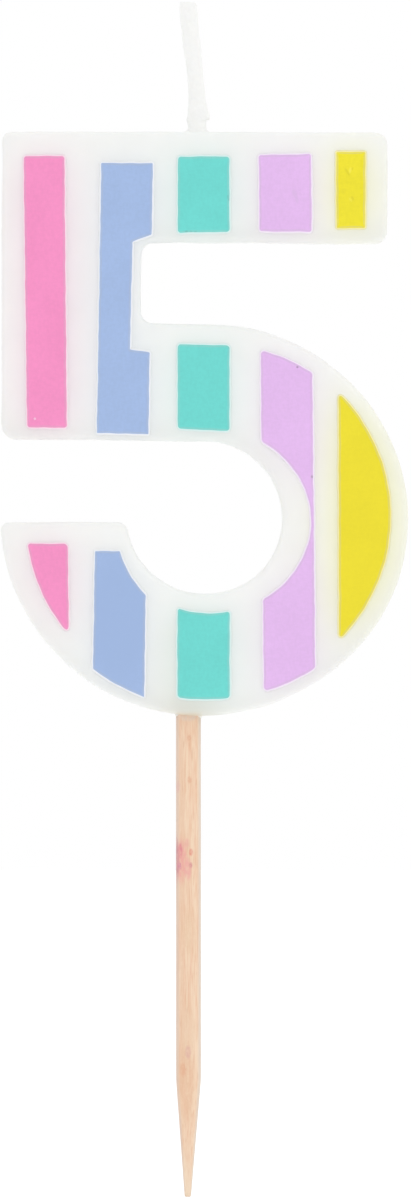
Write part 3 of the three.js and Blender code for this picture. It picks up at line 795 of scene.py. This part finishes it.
def woodenPick():
    # radius(height) tapers to a blunt rounded tip; fine grooves run along it, as sines of the angle
    # whose phase drifts with the height
    top = bayZ - bayRadius - pick["cover"]
    height = np.concatenate([
        -pick["length"] + pick["tipRound"] * np.array([0.0, 0.1, 0.3, 0.6, 1.0]),
        np.linspace(-pick["length"] + 0.4, top - 0.1, pick["rows"]), [top]])
    below = pick["taper"] - pick["length"] - height
    slope = (pick["radius"] - pick["tip"]) / pick["taper"]
    soft = 0.5 * (below + np.sqrt(below ** 2 + pick["blend"] ** 2 / 4))
    radius = pick["radius"] - slope * soft
    rounding = np.clip((height + pick["length"]) / pick["tipRound"], 0, 1)
    radius = radius * (pick["blunt"] + (1 - pick["blunt"]) * np.sqrt(1 - (1 - rounding) ** 2))
    middle = pick["x"] + pick["tipShift"] * np.clip(below / pick["taper"], 0, 1)
    angle = np.linspace(0, 2 * np.pi, pick["sides"], endpoint=False)
    random = np.random.default_rng(pick["seed"])
    groove = np.zeros((len(height), len(angle)))
    for waves in pick["grooves"]:
        start = random.uniform(0, 2 * np.pi)
        drift = start + 0.9 * np.sin(height / random.uniform(9, 22) + random.uniform(0, 2 * np.pi))
        most = random.uniform(0.5, 1.0)
        size = most * (1 + 0.5 * np.sin(height / random.uniform(2, 6) + random.uniform(0, 2 * np.pi)))
        groove += size[:, None] * np.sin(waves * angle[None] + drift[:, None]) / (1 + waves / 12)
    around = radius[:, None] * (1 + pick["grooveDepth"] * groove) - pick["wear"]
    rings = ringsRound(middle[:, None], around, angle, height[:, None])
    # side is the cosine of the angle round the pick, which the wood uses for painted shade on its left and
    # right sides
    side = np.concatenate([np.tile(np.cos(angle), len(height)), [0, 0]])
    return tubeMesh("pick_wood", rings, {"side": side})


wood = {
    "pale": (246, 218, 190), "deep": (239, 199, 169), "groove": (232, 186, 150), "pore": (218, 168, 134),
    "point": (245, 224, 199), "pointRange": (-61.5, -50.0), "pointStrength": 0.8,
    # noises: size in mm, detail, roughness, stretch
    "noises": {"streak": (0.55, 4.0, 0.66, (1, 1, 14)), "fibre": (0.12, 3.0, 0.6, (1, 1, 24)),
               "speckle": (0.3, 3.0, 0.7, (1, 1, 2)), "pores": (0.22, 1.0, 0.5, (1, 1, 9))},
    # layers over the deep colour: a noise, where in it the layer begins and is full, colour, strength
    "layers": [("streak", 0.36, 0.64, "pale", 1.0), ("fibre", 0.42, 0.66, "pale", 0.5),
               ("fibre", 0.5, 0.34, "groove", 0.6), ("pores", 0.64, 0.76, "pore", 0.4)],
    "patchy": (0.42, 0.6, 0.55, 1.0),   # what is left of a stain, as a ramp of the speckle
    # painted shade: duller left and right sides as seen from the front: the shares of the radius from the
    # middle where it begins and is full, colour, strength
    "sides": [(-0.62, -0.92, (221, 199, 185), 0.75), (0.66, 0.97, (222, 212, 200), 0.72)],
    "stains": [  # x, y, z of the middle, how far it reaches in each, colour, strength
        ((-0.75, -1.3, -22.0), (0.42, 1.0, 44.0), (234, 196, 166), 0.5),
        ((0.0, -1.4, -0.1), (1.7, 1.6, 0.8), (234, 218, 206), 0.7),
        ((-0.3, -1.4, -45.5), (1.6, 1.6, 6.5), (234, 192, 158), 0.6),
        ((0.2, -1.5, -27.0), (1.3, 1.2, 4.0), (234, 198, 164), 0.5),
        ((-0.1, -1.5, -39.0), (1.4, 1.2, 4.0), (235, 200, 168), 0.45),
        ((-0.85, -1.2, -18.0), (1.05, 1.3, 3.6), (240, 172, 162), 0.92),
        ((-1.45, -0.6, -18.0), (0.5, 1.3, 3.7), (200, 132, 146), 0.8),
        ((-0.98, -1.2, -16.7), (0.38, 0.8, 1.3), (226, 138, 146), 0.8),
        ((-1.15, -1.1, -18.7), (0.45, 0.8, 0.7), (214, 138, 160), 0.8),
        ((0.0, -1.5, -19.1), (0.62, 1.0, 1.8), (240, 172, 166), 0.75),
        ((0.35, -1.5, -17.0), (0.35, 0.8, 0.6), (228, 138, 120), 0.8),
        ((0.3, -1.5, -18.6), (0.3, 0.8, 0.5), (214, 128, 140), 0.7),
        ((-0.15, -1.5, -15.9), (0.45, 0.8, 0.9), (240, 182, 166), 0.7),
        ((-1.3, -0.8, -8.9), (0.55, 0.9, 1.0), (226, 180, 176), 0.55),
        ((0.17, -1.5, -8.0), (0.4, 0.6, 0.6), (228, 172, 136), 0.6),
        ((0.0, -1.5, -41.8), (0.5, 0.8, 1.1), (226, 175, 165), 0.6),
        ((-0.6, -1.4, -44.0), (0.55, 0.8, 1.2), (232, 176, 142), 0.6),
        ((0.15, -1.5, -2.8), (0.35, 0.6, 0.5), (226, 170, 135), 0.6),
    ],
}


def woodMaterial():
    material, tree, shader, where = newMaterial("wood")
    noises = {name: noise(tree, where, *pattern) for name, pattern in wood["noises"].items()}
    tone = linear(*wood["deep"])
    for name, begin, full, colour, strength in wood["layers"]:
        layer = ramp(tree, noises[name], begin, full, strength)
        tone = mixColour(tree, layer, tone, linear(*wood[colour]))
    parted = node(tree, "SeparateXYZ", Vector=where)
    low, high = (end * mm for end in wood["pointRange"])
    fresh = ramp(tree, parted.outputs["Z"], low, high, 0.0, wood["pointStrength"])
    tone = mixColour(tree, fresh, tone, linear(*wood["point"]))
    # painted shade on the left and right sides
    side = attribute(tree, "side", "Fac")
    for begin, full, colour, strength in wood["sides"]:
        tone = mixColour(tree, ramp(tree, side, begin, full, strength), tone, linear(*colour))
    for place, reach, colour, strength in wood["stains"]:
        speckled = ramp(tree, noises["speckle"], *wood["patchy"])
        stain = compute(tree, "MULTIPLY", spotOn(tree, where, place, reach, strength), speckled)
        tone = mixColour(tree, stain, tone, linear(*colour))
    pores = compute(tree, "MULTIPLY", noises["pores"], -0.6)
    ridges = compute(tree, "ADD", noises["fibre"], pores)
    feedAll(tree, shader, Base_Color=tone, Roughness=0.62, Normal=bump(tree, ridges, 0.03))
    return material


pickPiece = woodenPick()
pickPiece.data.materials.append(woodMaterial())
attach(pickPiece, "root")
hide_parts("wooden_pick")
print("pick done")


# The wick

wick = {
    "x": (stemLeft + barRight) / 2 + 0.34, "radius": 1.035, "length": 16.2, "lean": 1.07, "upright": 3.0,
    "cover": 3.9, "tipRound": 0.12, "blunt": 0.93, "rows": 330, "sides": 96,
    # rows of the height above the wax, and how much the radius changes there
    "body": [[0.3, 0.09], [3.2, 0.07], [4.4, 0.0], [6.5, -0.05], [8.2, -0.04], [10.5, 0.07], [11.3, 0.08],
             [12.3, 0.02], [14.2, 0.09], [16.2, 0.06]],
    "lump": [[1.45, 0], [1.55, 0.36], [1.7, 0.44], [2.06, 0.46], [2.5, 0.33], [3.2, 0.16], [4.3, 0]],
    "knob": [[0.6, 0], [1.2, 0.11], [1.56, 0.22], [1.8, 0.2], [2.1, 0.1], [2.6, 0.06], [4.0, 0]],
    "foot": [[-0.3, 0], [0.0, 0.85], [0.07, 0.5], [0.14, 0.3], [0.3, 0.1], [0.6, 0]], "footBehind": 0.12,
    # length of one turn, how many strands and finer plies lie round it, and how far they stand out
    "turn": 3.4, "strands": 3, "strandSize": 0.016, "plies": 9, "plySize": 0.008,
    "showStart": 0.4, "showOver": 1.2, "wornLength": 0.7, "wornDepth": 0.38,
    "colour": (251, 251, 249), "waxColour": (248, 249, 246), "duller": 0.965,
}


def profile(places, rows):
    return np.interp(places, *np.array(rows).T)


def cottonWick():
    # radius(height, angle) = a smooth body + two crossing families of strands + a lump of wax on the right
    # that ends in a step + a smaller one on the left + a low foot where it enters the wax - a worn corner;
    # the axis leans left by a smooth step of the height
    low = barBottom + wick["cover"]
    high = digitTop + wick["length"]
    height = np.concatenate([
        [low], np.linspace(low + 0.05, digitTop - 0.3, 20),
        np.linspace(digitTop - 0.2, high - 0.55, wick["rows"]),
        high - np.array([0.4, 0.22, 0.09, 0.02, 0.0])])
    above = np.clip(height - digitTop, 0, None)
    body = wick["radius"] + profile(above, wick["body"])
    toTip = np.clip((high - height) / wick["tipRound"], 0, 1)
    body *= wick["blunt"] + (1 - wick["blunt"]) * np.sqrt(1 - (1 - toTip) ** 2)
    angle = np.linspace(0, 2 * np.pi, wick["sides"], endpoint=False)[None]
    twist = 2 * np.pi * above[:, None] / wick["turn"]
    strands = np.maximum(*(np.cos(wick["strands"] * (angle + way * twist)) for way in (-1, 1)))
    plies = np.cos(wick["plies"] * (angle - 2 * twist))
    showing = np.clip((above - wick["showStart"]) / wick["showOver"], 0, 1)[:, None]
    lump = profile(above, wick["lump"])[:, None] * np.clip(np.cos(angle - 0.1), 0, 1) ** 1.5
    worn = np.clip(1 - (high - height) / wick["wornLength"], 0, 1)[:, None] ** 2 * wick["wornDepth"]
    worn = worn * np.clip(np.cos(angle), 0, 1)
    knob = profile(above, wick["knob"])[:, None] * np.clip(-np.cos(angle + 0.15), 0, 1) ** 2
    foot = wick["footBehind"] + (1 - wick["footBehind"]) * np.cos(angle + 0.2) ** 2
    foot = profile(height - digitTop, wick["foot"])[:, None] * foot
    strands = showing * (wick["strandSize"] * strands + wick["plySize"] * plies)
    radius = body[:, None] + strands + lump + knob + foot - worn
    tilt = np.clip((above - wick["upright"]) / (wick["length"] - wick["upright"]), 0, 1)
    lean = wick["x"] - wick["lean"] * tilt ** 2 * (3 - 2 * tilt)
    return tubeMesh("wick_cotton", ringsRound(lean[:, None], radius, angle, height[:, None]))


def wickMaterial():
    material, tree, shader, where = newMaterial("wick_cotton")
    base = linear(*wick["colour"])
    fuzz, soft = noise(tree, where, 0.18, 3.0, 0.65, (1, 1, 2.5)), noise(tree, where, 1.6)
    tone = mixColour(tree, ramp(tree, fuzz, 0.3, 0.7, 0.6), base, base * wick["duller"])
    tone = mixColour(tree, ramp(tree, soft, 0.35, 0.7, 0.5), tone, linear(*wick["waxColour"]))
    feedAll(tree, shader, Base_Color=tone, Roughness=0.7, Normal=bump(tree, fuzz, 0.03),
            Subsurface_Weight=0.2, Subsurface_Radius=(1.0, 0.97, 0.9), Subsurface_Scale=0.6 * mm)
    return material


wickPiece = cottonWick()
wickPiece.data.materials.append(wickMaterial())
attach(wickPiece, "root")
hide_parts("wick")
print("wick done")


# Floor, light and camera

stageLook = {
    # light from all round: its strength along Y and across it, and the shares of Y between which it changes
    "ambient": 0.475, "aside": 1.1, "change": (0.1, 0.95),
    "floorColour": 0.9, "floorLift": 0.3, "floorGlow": 0.07, "floorHalf": 2.0,
    "lamps": [  # place in metres, where it points, size, power in watts, spread in degrees
        ((0.95, -1.2, 0.75), (0.0, 0.0, 0.02), 1.3, 4.2, 180),
        ((-0.95, -1.2, 0.45), (0.0, 0.0, 0.02), 1.2, 2.6, 180),
        ((0.0, 0.0, -0.0588), (0.0, 0.0, 0.02), 0.6, 0.13, 75),  # straight up, as over a light table
    ],
    "lens": 400.0, "sensor": 36.0, "viewHeight": 148.8, "aim": (2.158, 14.32), "clip": (0.05, 50),
}


def seesBackdrop(tree):
    # 1 for camera, glossy and transmission rays, which see the white backdrop; 0 for the rest
    path = node(tree, "LightPath").outputs
    first = compute(tree, "MAXIMUM", path["Is Camera Ray"], path["Is Glossy Ray"])
    return compute(tree, "MAXIMUM", first, path["Is Transmission Ray"])


world = bpy.data.worlds.new("softWorld")
world.use_nodes = True
scene.world = world
tree = world.node_tree
tree.nodes.clear()
# the soft light is strongest from the sides, from above and from below, so that the rims stay pale
around = node(tree, "TexCoord").outputs["Generated"]
direction = node(tree, "SeparateXYZ", Vector=around)
along = compute(tree, "ABSOLUTE", direction.outputs["Y"])
glow = ramp(tree, along, *stageLook["change"], stageLook["ambient"], stageLook["aside"])
ambient = node(tree, "Background", Color=(1, 1, 1, 1), Strength=glow)
backdrop = node(tree, "Background", Color=(1, 1, 1, 1), Strength=1.0)
worldMix = node(tree, "MixShader", i0=seesBackdrop(tree), i1=ambient.outputs[0], i2=backdrop.outputs[0])
node(tree, "OutputWorld", Surface=worldMix.outputs[0])

half, floorZ = stageLook["floorHalf"] / mm, -pick["length"]
corners = [[x * half, y * half, floorZ] for x, y in ((-1, -1), (1, -1), (1, 1), (-1, 1))]
floor = makeMesh("floor", corners, [np.array([[0, 1, 2, 3]])])
floorLook, tree, shader, where = newMaterial("floorWhite")
feedAll(tree, shader, Base_Color=(*[stageLook["floorColour"]] * 3, 1), Roughness=0.9,
        Specular_IOR_Level=0.1)
glow = ramp(tree, seesBackdrop(tree), 0.0, 1.0, stageLook["floorLift"], stageLook["floorGlow"])
lift = node(tree, "Emission", Strength=glow)
lit = node(tree, "AddShader", i0=shader.outputs[0], i1=lift.outputs[0])
unseen = node(tree, "BsdfTransparent")
facing = node(tree, "NewGeometry").outputs["Backfacing"]
oneSided = node(tree, "MixShader", i0=facing, i1=lit.outputs[0], i2=unseen.outputs[0])
tree.links.new(oneSided.outputs[0], tree.nodes["Material Output"].inputs["Surface"])
floor.data.materials.append(floorLook)

for number, (place, target, size, power, spread) in enumerate(stageLook["lamps"]):
    data = bpy.data.lights.new("softLamp" + str(number), "AREA")
    data.shape, data.size, data.energy, data.spread = "DISK", size, power, np.radians(spread)
    lamp = bpy.data.objects.new(data.name, data)
    lamp.location = place
    lamp.rotation_euler = (Vector(target) - Vector(place)).to_track_quat("-Z", "Y").to_euler()
    lamp.visible_camera = False
    scene.collection.objects.link(lamp)

cameraData = bpy.data.cameras.new("camera")
cameraData.lens, cameraData.sensor_width = stageLook["lens"], stageLook["sensor"]
cameraData.clip_start, cameraData.clip_end = stageLook["clip"]
camera = bpy.data.objects.new("camera", cameraData)
away = stageLook["viewHeight"] * stageLook["lens"] / stageLook["sensor"]
camera.location = (stageLook["aim"][0] * mm, (frontY - away) * mm, stageLook["aim"][1] * mm)
camera.rotation_euler = (np.pi / 2, 0, 0)
scene.collection.objects.link(camera)
scene.camera = camera
